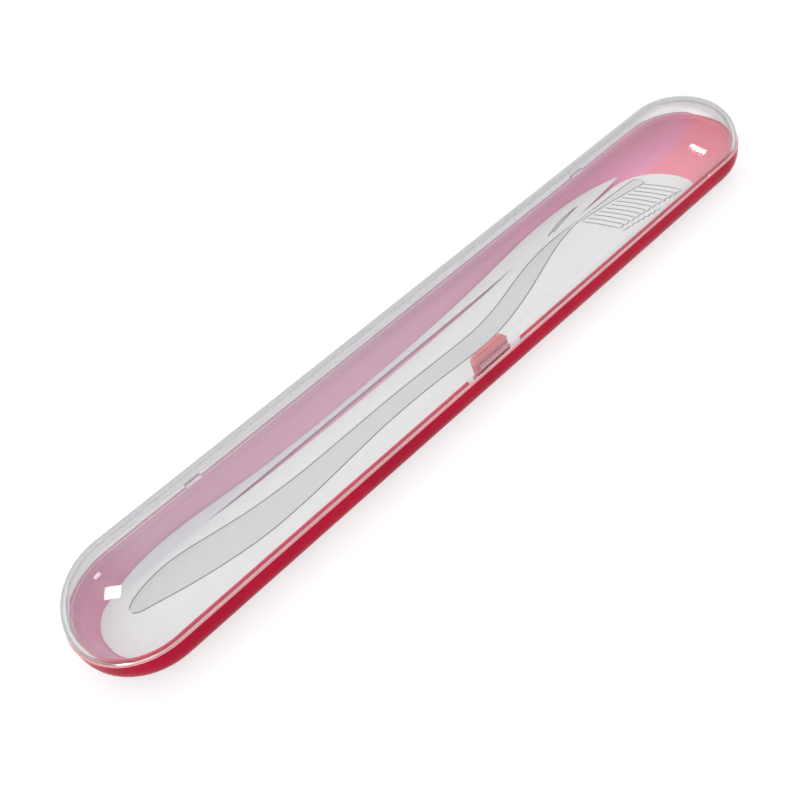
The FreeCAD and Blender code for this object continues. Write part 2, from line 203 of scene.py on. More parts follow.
class CaseColours(PropertyGroup):
    """Colours of the case, its card and its print."""

    tray_outside: FloatVectorProperty(
        name="Tray outside", description="Red of the tray's outer wall",
        subtype="COLOR", size=4, min=0.0, max=1.0, default=(0.62, 0.010, 0.048, 1.0))
    # Painted light: the plastic's red lightened to rose by a painted glow of light through the
    # translucent plastic.
    tray_wall_glow: FloatVectorProperty(
        name="Tray inner wall", description="Rose of the tray's inner wall along its middle",
        subtype="COLOR", size=4, min=0.0, max=1.0, default=(0.76, 0.44, 0.565, 1.0))
    # Painted glow, a deeper rose toward the far end.
    tray_deep_glow: FloatVectorProperty(
        name="Tray deep wall", description="Deeper rose of the inner wall toward the far end",
        subtype="COLOR", size=4, min=0.0, max=1.0, default=(0.80, 0.30, 0.485, 1.0))
    # Painted shade: the inner wall's glow dulled at the near end.
    tray_near_shade: FloatVectorProperty(
        name="Tray near end", description="Duller rose of the inner wall at the near end",
        subtype="COLOR", size=4, min=0.0, max=1.0, default=(0.66, 0.275, 0.41, 1.0))
    # Painted glow of light that comes up through the translucent floor where the card leaves it
    # bare.
    tray_far_glow: FloatVectorProperty(
        name="Tray far end",
        description="Warm pink of the floor that the card leaves bare at the far end",
        subtype="COLOR", size=4, min=0.0, max=1.0, default=(0.84, 0.255, 0.325, 1.0))
    tongue: FloatVectorProperty(
        name="Snap tongue", description="Red of the snap tongue where it leaves the tray",
        subtype="COLOR", size=4, min=0.0, max=1.0, default=(0.58, 0.095, 0.13, 1.0))
    # Painted light: a pale band where the groove between the ribs sits.
    tongue_groove_light: FloatVectorProperty(
        name="Snap tongue groove", description="Pale pink of the groove between the tongue's ribs",
        subtype="COLOR", size=4, min=0.0, max=1.0, default=(0.66, 0.33, 0.34, 1.0))
    # Painted highlight on the rib at the tongue's free end.
    tongue_tip_highlight: FloatVectorProperty(
        name="Snap tongue tip", description="Paler red of the rib at the tongue's free end",
        subtype="COLOR", size=4, min=0.0, max=1.0, default=(0.72, 0.17, 0.185, 1.0))
    lid_tint: FloatVectorProperty(
        name="Lid tint", description="Slight tint of the clear lid where it is seen straight on",
        subtype="COLOR", size=4, min=0.0, max=1.0, default=(0.975, 0.985, 0.985, 1.0))
    # Partly the deeper tint of a longer path through the plastic, partly painted shade.
    lid_edge_shade: FloatVectorProperty(
        name="Lid edge tint",
        description="Deeper tint of the clear lid where it is seen at a slant",
        subtype="COLOR", size=4, min=0.0, max=1.0, default=(0.57, 0.56, 0.58, 1.0))
    # Painted shade: the dark edge that clear plastic shows when seen edge on.
    lid_outline_shade: FloatVectorProperty(
        name="Lid outline", description="Grey of the clear lid where it is seen edge on",
        subtype="COLOR", size=4, min=0.0, max=1.0, default=(0.22, 0.245, 0.245, 1.0))
    # Painted highlight: the bead's pale line and the red light it gathers from the tray.
    lid_rim_highlight: FloatVectorProperty(
        name="Lid rim", description="Pale rose of the rim bead that gathers light from the tray",
        subtype="COLOR", size=4, min=0.0, max=1.0, default=(0.95, 0.43, 0.45, 1.0))
    # Painted highlight, greyer on the hinge side.
    lid_far_rim_highlight: FloatVectorProperty(
        name="Lid far rim", description="Pale grey rose of the rim bead on the hinge side",
        subtype="COLOR", size=4, min=0.0, max=1.0, default=(0.62, 0.52, 0.56, 1.0))
    card_white: FloatVectorProperty(
        name="Card", description="White of the insert card",
        subtype="COLOR", size=4, min=0.0, max=1.0, default=(0.76, 0.76, 0.745, 1.0))
    # Painted shade on the card's turned-up edge, which the tray's wall shades.
    card_fold_shade: FloatVectorProperty(
        name="Card fold", description="Greyer white of the card's turned-up edge along the middle",
        subtype="COLOR", size=4, min=0.0, max=1.0, default=(0.66, 0.65, 0.68, 1.0))
    print_fill: FloatVectorProperty(
        name="Print fill", description="Pale grey inside the drawn brush",
        subtype="COLOR", size=4, min=0.0, max=1.0, default=(0.61, 0.615, 0.61, 1.0))
    print_light: FloatVectorProperty(
        name="Print light", description="Lighter grey inside the drawn head",
        subtype="COLOR", size=4, min=0.0, max=1.0, default=(0.67, 0.68, 0.67, 1.0))
    print_ink: FloatVectorProperty(
        name="Print ink", description="Grey of the drawn lines",
        subtype="COLOR", size=4, min=0.0, max=1.0, default=(0.16, 0.17, 0.17, 1.0))
    pin_metal: FloatVectorProperty(
        name="Pin metal", description="Steel of the hinge pins",
        subtype="COLOR", size=4, min=0.0, max=1.0, default=(0.56, 0.57, 0.58, 1.0))


class PrintSizes(PropertyGroup):
    """Sizes of the drawing printed on the card."""

    ink_width: FloatProperty(
        name="Line width", description="Width of the drawn lines",
        subtype="DISTANCE", unit="LENGTH", min=0.00005, max=0.001, default=0.0003)
    film: FloatProperty(
        name="Ink film", description="How far the ink stands on the card",
        subtype="DISTANCE", unit="LENGTH", min=0.000005, max=0.0001, default=0.00002)
    bristles: IntProperty(
        name="Bristle lines", description="Number of bristle lines drawn under the head",
        min=4, max=30, default=12)
    bristle_length: FloatProperty(
        name="Bristle length", description="Length of one drawn bristle line",
        subtype="DISTANCE", unit="LENGTH", min=0.002, max=0.02, default=0.0099)
    bristle_slant: FloatProperty(
        name="Bristle slant", description="How far a bristle line leans along the case",
        subtype="ANGLE", min=-1.0, max=1.0, default=math.radians(15))


class StageSizes(PropertyGroup):
    """Camera and light of the studio."""

    lens: FloatProperty(
        name="Lens", description="Focal length of the camera, in millimetres",
        min=10.0, max=200.0, default=40.608)
    azimuth: FloatProperty(
        name="Camera azimuth", description="Turn of the camera round the case",
        subtype="ANGLE", default=math.radians(-31.402))
    elevation: FloatProperty(
        name="Camera elevation", description="Height angle of the camera",
        subtype="ANGLE", default=math.radians(45.977))
    roll: FloatProperty(
        name="Camera roll", description="Roll of the camera about its view",
        subtype="ANGLE", default=math.radians(-16.694))
    distance: FloatProperty(
        name="Camera distance", description="Distance of the camera from its aim point",
        subtype="DISTANCE", unit="LENGTH", default=0.191275)
    aim: FloatVectorProperty(
        name="Aim", description="Point that the camera looks at",
        subtype="XYZ", unit="LENGTH", size=3, default=(-0.022682, -0.008332, 0.012))
    far_light: FloatProperty(
        name="Far light", description="Brightness of the studio behind the case, where 1 is white",
        min=0.0, max=10.0, default=1.5)
    low_light: FloatProperty(
        name="Low light", description="Brightness of the studio behind the case, near the horizon",
        min=0.0, max=10.0, default=0.35)
    near_light: FloatProperty(
        name="Near light", description="Brightness of the studio on the camera's side",
        min=0.0, max=10.0, default=0.95)


class CaseLooks(PropertyGroup):
    """Everything that can be set before the case is dressed."""

    colours: PointerProperty(type=CaseColours)
    printing: PointerProperty(type=PrintSizes)
    stage: PointerProperty(type=StageSizes)


def deselect():
    """Leaves edit mode and clears the selection."""
    if bpy.context.object and bpy.context.object.mode != "OBJECT":
        bpy.ops.object.mode_set(mode="OBJECT")
    bpy.ops.object.select_all(action="DESELECT")


def make_active(piece):
    """Selects one piece alone and makes it the active one."""
    deselect()
    bpy.context.view_layer.objects.active = piece
    piece.select_set(True)


def placed(across, up, back, place):
    """The matrix of a lamp or camera with these three axes at this place."""
    rows = [list(row) for row in zip(across, up, back, place)]
    return Matrix(rows + [[0.0, 0.0, 0.0, 1.0]])


def new_material(name):
    """A material with its Principled shader, ready for more nodes."""
    material = bpy.data.materials.new(name)
    material.use_nodes = True
    shader = material.node_tree.nodes["Principled BSDF"]
    return material, material.node_tree, shader


def add(tree, kind, settings=None, **inputs):
    """A node with its settings and plain input values."""
    made = tree.nodes.new(kind)
    for name, value in (settings or {}).items():
        setattr(made, name, value)
    for name, value in inputs.items():
        made.inputs[name.replace("_", " ")].default_value = value
    return made


def maths(tree, operation, first, second=None, third=None):
    """A maths node on plain numbers or other nodes' sockets."""
    made = tree.nodes.new("ShaderNodeMath")
    made.operation = operation
    for place, value in enumerate((first, second, third)):
        if value is None:
            continue
        if isinstance(value, (int, float)):
            made.inputs[place].default_value = value
        else:
            tree.links.new(value, made.inputs[place])
    return made.outputs[0]


def ramp(tree, value, low, high, start=0.0, end=1.0):
    """A smooth step of value from start at low to end at high."""
    made = add(tree, "ShaderNodeMapRange", {"interpolation_type": "SMOOTHSTEP"})
    tree.links.new(value, made.inputs["Value"])
    made.inputs["From Min"].default_value = low
    made.inputs["From Max"].default_value = high
    made.inputs["To Min"].default_value = start
    made.inputs["To Max"].default_value = end
    return made.outputs["Result"]


def mix_colour(tree, share, first, second):
    """A blend of two colours, each a plain colour or a socket."""
    made = add(tree, "ShaderNodeMix", {"data_type": "RGBA"})
    tree.links.new(share, made.inputs[0])
    for place, value in ((6, first), (7, second)):
        if isinstance(value, bpy.types.NodeSocket):
            tree.links.new(value, made.inputs[place])
        else:
            made.inputs[place].default_value = value
    return made.outputs[2]


def cloud(tree, point, scale, detail=2.0):
    """A soft noise pattern in object space."""
    made = add(tree, "ShaderNodeTexNoise", Scale=scale, Detail=detail)
    tree.links.new(point, made.inputs["Vector"])
    return made.outputs["Fac"]


def bump(tree, height, strength, distance):
    """A surface that rises and falls with height."""
    made = add(tree, "ShaderNodeBump", Strength=strength, Distance=distance)
    tree.links.new(height, made.inputs["Height"])
    return made.outputs["Normal"]


def parts(tree, vector):
    """The X, Y and Z of a vector socket."""
    made = add(tree, "ShaderNodeSeparateXYZ")
    tree.links.new(vector, made.inputs[0])
    return made.outputs


def shade(colour, amount):
    """A colour made darker or lighter by a plain factor."""
    return (colour[0] * amount, colour[1] * amount, colour[2] * amount, 1.0)


def seen_as_background(tree):
    """One for rays that show the background, straight on or in gloss and glass, else zero."""
    path = add(tree, "ShaderNodeLightPath")
    seen = maths(tree, "MAXIMUM", path.outputs["Is Camera Ray"], path.outputs["Is Glossy Ray"])
    return maths(tree, "MAXIMUM", seen, path.outputs["Is Transmission Ray"])


def dress(node_names, material):
    """Gives a material to every slot of the named solids."""
    for name in node_names:
        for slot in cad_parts[name].material_slots:
            slot.link = "OBJECT"
            slot.material = material


def tongue_plastic(colours):
    """The thin tongue of the tray's plastic in bands by height: the red root, a painted pale light
    at the groove and a painted highlight on the tip rib.
    """
    material, tree, shader = new_material("tongue_plastic")
    point = add(tree, "ShaderNodeTexCoord").outputs["Object"]
    height = parts(tree, point)["Z"]
    mottle = ramp(tree, cloud(tree, point, scale=300.0, detail=3.0), low=0.35, high=0.7)
    root = mix_colour(tree, mottle, shade(colours.tongue, 0.9), shade(colours.tongue, 1.12))
    # Painted bands of light by height: a pale band at the groove, then a highlight on the tip rib.
    colour = mix_colour(tree, ramp(tree, height, *GROOVE_LIGHT_Z), root, colours.tongue_groove_light)
    colour = mix_colour(tree, ramp(tree, height, *TIP_HIGHLIGHT_Z), colour, colours.tongue_tip_highlight)
    tree.links.new(colour, shader.inputs["Base Color"])
    gloss = ramp(tree, mottle, low=0.0, high=1.0, start=0.28, end=0.38)
    tree.links.new(gloss, shader.inputs["Roughness"])
    shader.inputs["IOR"].default_value = TRAY_IOR
    return material


def hollow_side(tree, spot, normal):
    """One on faces that look in on the tray's hollow, zero on faces that look out from it."""
    along = add(tree, "ShaderNodeClamp", Min=-SPINE_HALF, Max=SPINE_HALF)
    tree.links.new(spot["X"], along.inputs["Value"])
    beyond = maths(tree, "SUBTRACT", spot["X"], along.outputs[0])
    above = maths(tree, "SUBTRACT", spot["Z"], RIM_HEIGHT)
    outward = add(tree, "ShaderNodeCombineXYZ")
    for name, value in (("X", beyond), ("Y", spot["Y"]), ("Z", above)):
        tree.links.new(value, outward.inputs[name])
    facing = add(tree, "ShaderNodeVectorMath", {"operation": "DOT_PRODUCT"})
    tree.links.new(outward.outputs[0], facing.inputs[0])
    tree.links.new(normal, facing.inputs[1])
    return ramp(tree, facing.outputs["Value"], low=0.0005, high=-0.0005)


def red_plastic(colours):
    """Moulded red plastic, deep red outside; inside it is painted light: a rose glow on the inner
    wall and far lip, dulled to painted shade at the near end, and a warm pink glow on the bare far
    floor.
    """
    material, tree, shader = new_material("red_moulded_plastic")
    place = add(tree, "ShaderNodeTexCoord")
    point = place.outputs["Object"]
    spot = parts(tree, point)
    hollow = hollow_side(tree, spot, place.outputs["Normal"])
    lip = ramp(tree, spot["Z"], *LIP_Z)
    # Painted glow: on the far side the lip's top takes the inside's lighter colour, for light that
    # comes through from behind.
    far_lip_glow = maths(tree, "MULTIPLY", lip, ramp(tree, spot["Y"], *FAR_LIP_GLOW_Y))
    inside = maths(tree, "MAXIMUM", hollow, far_lip_glow)
    # Painted glow on the inner wall, deeper toward the far end and dulled to painted shade at the
    # near end.
    deep = ramp(tree, spot["X"], *DEEP_GLOW_X)
    wall = mix_colour(tree, deep, colours.tray_wall_glow, colours.tray_deep_glow)
    wall = mix_colour(tree, ramp(tree, spot["X"], *NEAR_SHADE_X), wall, colours.tray_near_shade)
    # Painted glow on the floor that the card leaves bare at the far end.
    far_end = ramp(tree, spot["X"], *FAR_GLOW_X)
    bare = maths(tree, "MULTIPLY", far_end, ramp(tree, spot["Y"], *BARE_GLOW_Y))
    inner = mix_colour(tree, bare, wall, colours.tray_far_glow)
    mottle = ramp(tree, cloud(tree, point, scale=90.0, detail=3.0), low=0.35, high=0.7)
    red = colours.tray_outside
    outer = mix_colour(tree, mottle, shade(red, 0.92), shade(red, 1.08))
    tree.links.new(mix_colour(tree, inside, outer, inner), shader.inputs["Base Color"])
    haze = ramp(tree, cloud(tree, point, scale=260.0), low=0.3, high=0.7, start=0.2, end=0.3)
    tree.links.new(haze, shader.inputs["Roughness"])
    grain = bump(tree, cloud(tree, point, scale=1800.0), strength=0.12, distance=0.00004)
    tree.links.new(grain, shader.inputs["Normal"])
    shader.inputs["IOR"].default_value = TRAY_IOR
    shader.inputs["Specular IOR Level"].default_value = TRAY_SHINE
    return material


def pass_lamps(tree, shader, tint):
    """Lets lamps and bounced light straight through a clear shader, with a slight tint."""
    path = add(tree, "ShaderNodeLightPath")
    window = add(tree, "ShaderNodeBsdfTransparent", Color=tint)
    choice = add(tree, "ShaderNodeMixShader")
    passing = maths(tree, "MAXIMUM", path.outputs["Is Shadow Ray"], path.outputs["Is Diffuse Ray"])
    tree.links.new(passing, choice.inputs[0])
    tree.links.new(shader.outputs[0], choice.inputs[1])
    tree.links.new(window.outputs[0], choice.inputs[2])
    tree.links.new(choice.outputs[0], tree.nodes["Material Output"].inputs["Surface"])


def clear_plastic(colours):
    """Clear moulded plastic that lets lamps through, with painted shade: a deeper tint at a slant
    and a grey outline where it is edge on.
    """
    material, tree, shader = new_material("clear_moulded_plastic")
    shader.inputs["Transmission Weight"].default_value = 1.0
    shader.inputs["IOR"].default_value = LID_IOR
    point = add(tree, "ShaderNodeTexCoord").outputs["Object"]
    slant = add(tree, "ShaderNodeLayerWeight", Blend=0.5).outputs["Facing"]
    # Painted shade: a deeper tint at a slant, then an opaque grey outline where the lid is seen
    # edge on.
    tinted = mix_colour(tree, ramp(tree, slant, *LID_SLANT), colours.lid_tint, colours.lid_edge_shade)
    surface = add(tree, "ShaderNodeNewGeometry")
    front = maths(tree, "SUBTRACT", 1.0, surface.outputs["Backfacing"])
    edge_on = ramp(tree, slant, *LID_EDGE_ON, start=0.0, end=OUTLINE_STRENGTH)
    outline = maths(tree, "MULTIPLY", front, edge_on)
    colour = mix_colour(tree, outline, tinted, colours.lid_outline_shade)
    tree.links.new(colour, shader.inputs["Base Color"])
    tree.links.new(maths(tree, "SUBTRACT", 1.0, outline), shader.inputs["Transmission Weight"])
    smear = cloud(tree, point, scale=60.0, detail=4.0)
    gloss = ramp(tree, smear, low=0.45, high=0.8, start=0.015, end=0.05)
    tree.links.new(gloss, shader.inputs["Roughness"])
    ripple = cloud(tree, point, scale=55.0, detail=1.0)
    tree.links.new(bump(tree, ripple, strength=0.01, distance=0.0004), shader.inputs["Normal"])
    pass_lamps(tree, shader, colours.lid_tint)
    return material


def rim_highlight_plastic(colours):
    """The lid's rim bead, a little frosted and painted pale rose as a highlight line and the red
    light it gathers from the tray.
    """
    material, tree, shader = new_material("rim_highlight_plastic")
    point = add(tree, "ShaderNodeTexCoord").outputs["Object"]
    uneven = ramp(tree, cloud(tree, point, scale=140.0, detail=3.0), low=0.3, high=0.7)
    rose = colours.lid_rim_highlight
    near_side = mix_colour(tree, uneven, shade(rose, 0.94), shade(rose, 1.04))
    # The painted highlight turns greyer toward the hinge side.
    far_side = ramp(tree, parts(tree, point)["Y"], *FAR_RIM_Y)
    colour = mix_colour(tree, far_side, near_side, colours.lid_far_rim_highlight)
    tree.links.new(colour, shader.inputs["Base Color"])
    gloss = ramp(tree, uneven, low=0.0, high=1.0, start=0.25, end=0.4)
    tree.links.new(gloss, shader.inputs["Roughness"])
    shader.inputs["Transmission Weight"].default_value = 0.2
    shader.inputs["IOR"].default_value = LID_IOR
    pass_lamps(tree, shader, colours.lid_rim_highlight)
    return material


def paper(name, colour, contrast, fold=None):
    """Matt printed paper with a faint fibre grain, and painted shade on the turned-up fold if a
    fold colour is given.
    """
    material, tree, shader = new_material(name)
    point = add(tree, "ShaderNodeTexCoord").outputs["Object"]
    fibre = ramp(tree, cloud(tree, point, scale=700.0, detail=4.0), low=0.35, high=0.65)
    blend = mix_colour(tree, fibre, shade(colour, 1.0 - contrast), shade(colour, 1.0 + contrast))
    if fold:
        # Painted shade on the turned-up fold, along the middle of the case.
        spot = parts(tree, point)
        turned_up = ramp(tree, spot["Y"], *TURNED_UP_Y)
        middle = ramp(tree, spot["X"], *FOLD_SHADE_X)
        blend = mix_colour(tree, maths(tree, "MULTIPLY", turned_up, middle), blend, fold)
    tree.links.new(blend, shader.inputs["Base Color"])
    gloss = ramp(tree, cloud(tree, point, scale=150.0), low=0.3, high=0.7, start=0.5, end=0.62)
    tree.links.new(gloss, shader.inputs["Roughness"])
    tree.links.new(bump(tree, fibre, strength=0.1, distance=0.00002), shader.inputs["Normal"])
    return material


def pin_steel(colours):
    """Drawn steel wire with fine lines along it."""
    material, tree, shader = new_material("drawn_steel")
    point = add(tree, "ShaderNodeTexCoord").outputs["Object"]
    stretch = add(tree, "ShaderNodeMapping", Scale=(0.05, 1.0, 1.0))
    tree.links.new(point, stretch.inputs["Vector"])
    lines = cloud(tree, stretch.outputs[0], scale=9000.0)
    steel = colours.pin_metal
    blend = mix_colour(tree, lines, shade(steel, 0.8), shade(steel, 1.15))
    tree.links.new(blend, shader.inputs["Base Color"])
    gloss = ramp(tree, lines, low=0.3, high=0.7, start=0.25, end=0.4)
    tree.links.new(gloss, shader.inputs["Roughness"])
    shader.inputs["Metallic"].default_value = 1.0
    return material


def strip(name, stations):
    """A flat strip on the card that follows stations, grown edge by edge and smoothed."""
    deselect()
    first = stations[0]
    start = (first[0] * MM, first[1] * MM, CARD_TOP)
    bpy.ops.mesh.primitive_plane_add(size=1.0, location=start)
    piece = bpy.context.object
    piece.name = name
    piece.scale = (STRIP_START, 2 * first[2] * MM, 1.0)
    bpy.ops.object.transform_apply(location=True, rotation=True, scale=True)
    bpy.ops.object.mode_set(mode="EDIT")
    bpy.ops.mesh.select_mode(type="VERT")
    bpy.ops.mesh.select_all(action="DESELECT")
    bpy.ops.object.mode_set(mode="OBJECT")
    right = max(v.co.x for v in piece.data.vertices)
    for vertex in piece.data.vertices:
        vertex.select = vertex.co.x > right - SAME_PLACE
    bpy.ops.object.mode_set(mode="EDIT")
    bpy.ops.mesh.select_mode(type="EDGE")
    before = first
    at = right / MM
    for station in stations[1:]:
        step = ((station[0] - at) * MM, (station[1] - before[1]) * MM, 0.0)
        bpy.ops.mesh.extrude_region_move(TRANSFORM_OT_translate={"value": step})
        bpy.ops.transform.resize(value=(1.0, station[2] / before[2], 1.0))
        before = station
        at = station[0]
    bpy.ops.object.mode_set(mode="OBJECT")
    smooth = piece.modifiers.new("smooth", "SUBSURF")
    smooth.levels = STRIP_LEVELS
    smooth.render_levels = STRIP_LEVELS
    bpy.ops.object.modifier_apply(modifier=smooth.name)
    return piece


def edge_with_ink(piece, fill, ink, width):
    """Insets the strip's faces and paints the border as a drawn line."""
    piece.data.materials.append(fill)
    piece.data.materials.append(ink)
    bpy.ops.object.mode_set(mode="EDIT")
    bpy.ops.mesh.select_mode(type="FACE")
    bpy.ops.mesh.select_all(action="SELECT")
    bpy.ops.mesh.inset(thickness=width, use_boundary=True, use_even_offset=True)
    bpy.ops.mesh.select_all(action="INVERT")
    piece.active_material_index = 1
    bpy.ops.object.material_slot_assign()
    bpy.ops.object.mode_set(mode="OBJECT")


def move_mesh(piece, step=(0.0, 0.0, 0.0), angle=0.0, axis="Z", centre=(0.0, 0.0, 0.0)):
    """Turns a piece's mesh about a point and then moves it, leaving the object at the origin."""
    make_active(piece)
    bpy.ops.object.mode_set(mode="EDIT")
    bpy.ops.mesh.select_all(action="SELECT")
    if angle:
        bpy.ops.transform.rotate(value=angle, orient_axis=axis, center_override=centre)
    bpy.ops.transform.translate(value=step)
    bpy.ops.object.mode_set(mode="OBJECT")


def join(name, pieces):
    """One object out of several drawn lines."""
    deselect()
    for piece in pieces:
        piece.select_set(True)
    bpy.context.view_layer.objects.active = pieces[0]
    bpy.ops.object.join()
    pieces[0].name = name
    return pieces[0]


def lay_film(piece, film):
    """Gives flat print its thin film of ink, sunk a little into the card."""
    make_active(piece)
    body = piece.modifiers.new("film", "SOLIDIFY")
    body.thickness = film
    body.offset = 0.0
    bpy.ops.object.modifier_apply(modifier=body.name)
    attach(piece, "base")


def half_line(sizes):
    """Half the width of a drawn line, in mm."""
    return sizes.ink_width / MM / 2


def on_plate_edge(share):
    """The point at this share of the head plate's lower edge, in mm."""
    (first_x, first_y), (last_x, last_y) = PLATE_EDGE
    return first_x + (last_x - first_x) * share, first_y + (last_y - first_y) * share


class CASE_OT_tray(Operator):
    """Dress the red tray and its snap tongue"""

    bl_idname = "toothbrush_case.tray"
    bl_label = "Red tray"

    def execute(self, context):
        colours = context.scene.case_looks.colours
        dress(("base_tray",), red_plastic(colours))
        dress(("latch_tongue",), tongue_plastic(colours))
        return {"FINISHED"}


class CASE_OT_lid(Operator):
    """Make the clear lid with an even surface and a rim bead painted as a pale highlight"""

    bl_idname = "toothbrush_case.lid"
    bl_label = "Clear lid"

    def execute(self, context):
        colours = context.scene.case_looks.colours
        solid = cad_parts["lid"]
        lid = solid.copy()
        lid.data = solid.data.copy()
        lid.name = "clear_lid"
        context.collection.objects.link(lid)
        make_active(lid)
        lid.data.materials.clear()
        lid.data.materials.append(clear_plastic(colours))
        lid.data.materials.append(rim_highlight_plastic(colours))
        bpy.ops.mesh.customdata_custom_splitnormals_clear()
        self.merge_and_cut()
        self.mark_bead(lid)
        bpy.ops.object.shade_smooth_by_angle(angle=SMOOTH_ANGLE)
        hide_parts("lid")
        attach(lid, "lid")
        return {"FINISHED"}

    def merge_and_cut(self):
        """Merges the loose triangles and parts the straight length from the round ends."""
        bpy.ops.object.mode_set(mode="EDIT")
        bpy.ops.mesh.select_mode(type="FACE")
        bpy.ops.mesh.select_all(action="SELECT")
        bpy.ops.mesh.remove_doubles(threshold=MERGE_DISTANCE)
        bpy.ops.mesh.tris_convert_to_quads(face_threshold=FLAT_ANGLE, shape_threshold=math.pi)
        for end in (-1.0, 1.0):
            bpy.ops.mesh.select_all(action="SELECT")
            bpy.ops.mesh.bisect(plane_co=(end * END_CUT, 0.0, 0.0), plane_no=(1.0, 0.0, 0.0))
        bpy.ops.mesh.select_all(action="DESELECT")
        bpy.ops.object.mode_set(mode="OBJECT")

    def mark_bead(self, lid):
        """Gives the faces of the rim bead the second material."""
        for face in lid.data.polygons:
            face.material_index = 0
            middle = face.center
            beyond = max(abs(middle.x) - SPINE_HALF, 0.0)
            reach = math.hypot(beyond, middle.y)
            low = RIM_HEIGHT - BEAD_SLACK < middle.z < RIM_HEIGHT + RIM_BEAD + BEAD_SLACK
            if low and CASE_HALF_WIDTH - BEAD_DEPTH < reach < CASE_HALF_WIDTH + BEAD_SLACK:
                face.material_index = 1


class CASE_OT_pins(Operator):
    """Dress the two hinge pins"""

    bl_idname = "toothbrush_case.pins"
    bl_label = "Hinge pins"

    def execute(self, context):
        steel = pin_steel(context.scene.case_looks.colours)
        dress(("hinge_pin_left", "hinge_pin_right"), steel)
        return {"FINISHED"}


class CASE_OT_card(Operator):
    """Dress the insert card"""

    bl_idname = "toothbrush_case.card"
    bl_label = "Insert card"

    def execute(self, context):
        colours = context.scene.case_looks.colours
        white = paper("white_card", colours.card_white, contrast=0.015, fold=colours.card_fold_shade)
        dress(("insert_card",), white)
        return {"FINISHED"}


class CASE_OT_print(Operator):
    """Print a plain toothbrush drawing on the card"""

    bl_idname = "toothbrush_case.print"
    bl_label = "Printed brush"

    def execute(self, context):
        looks = context.scene.case_looks
        sizes = looks.printing
        fill = paper("print_fill", looks.colours.print_fill, contrast=0.02)
        light = paper("print_light", looks.colours.print_light, contrast=0.02)
        ink = paper("print_ink", looks.colours.print_ink, contrast=0.05)
        drawn = (("printed_handle", HANDLE_STATIONS, fill), ("printed_head", HEAD_STATIONS, light))
        for name, stations, inside in drawn:
            piece = strip(name, stations)
            edge_with_ink(piece, inside, ink, sizes.ink_width)
            lay_film(piece, sizes.film)
        for piece in (self.bristles(sizes), self.tips(sizes), self.flap_lines(sizes)):
            piece.data.materials.append(ink)
            lay_film(piece, sizes.film)
        return {"FINISHED"}

    def bristles(self, sizes):
        """One bristle line, drawn once and copied along the lower edge of the head plate."""
        half = half_line(sizes)
        length = sizes.bristle_length / MM
        line = strip("bristle_line", [
            (share * length, BRISTLE_BOW * math.sin(math.pi * share), half)
            for share in BRISTLE_SHARES])
        move_mesh(line, angle=math.pi / 2 - sizes.bristle_slant)
        lines = []
        for number in range(sizes.bristles):
            copied = line.copy()
            copied.data = line.data.copy()
            bpy.context.collection.objects.link(copied)
            x, y = on_plate_edge(number / (sizes.bristles - 1))
            move_mesh(copied, step=(x * MM, y * MM, 0.0))
            lines.append(copied)
        bpy.data.objects.remove(line)
        return join("printed_bristles", lines)

    def tips(self, sizes):
        """Two wavy lines along the ends of the bristles."""
        half = half_line(sizes)
        points = TIP_POINTS * sizes.bristles
        lines = []
        for number, (drop, share_end) in enumerate(TIP_LINES):
            stations = []
            for place in range(int(points * share_end)):
                x, y = on_plate_edge(place / (points - 1))
                wave = TIP_WAVE * math.cos(math.pi * place / 2)
                stations.append((x + TIP_SHIFT, y - drop + wave, half))
            lines.append(strip(f"tip_line_{number}", stations))
        return join("printed_tips", lines)

    def flap_lines(self, sizes):
        """A slim leaf on the folded edge, drawn flat and turned up with the fold."""
        half = half_line(sizes)
        lines = []
        for number, (bulge, start, end) in enumerate(LEAF_LINES):
            stations = []
            for place in range(LEAF_STEPS + 1):
                share = place / LEAF_STEPS
                across = LEAF_ACROSS + LEAF_DRIFT * share + bulge * math.sin(math.pi * share)
                stations.append((start + (end - start) * share, across, half))
            lines.append(strip(f"flap_line_{number}", stations))
        leaf = join("printed_leaf", lines)
        crease = FOLD_Y - CARD_THICKNESS * math.tan(FLAP_ANGLE / 2)
        move_mesh(leaf, angle=-FLAP_ANGLE, axis="X", centre=(0.0, crease, CARD_TOP))
        return leaf


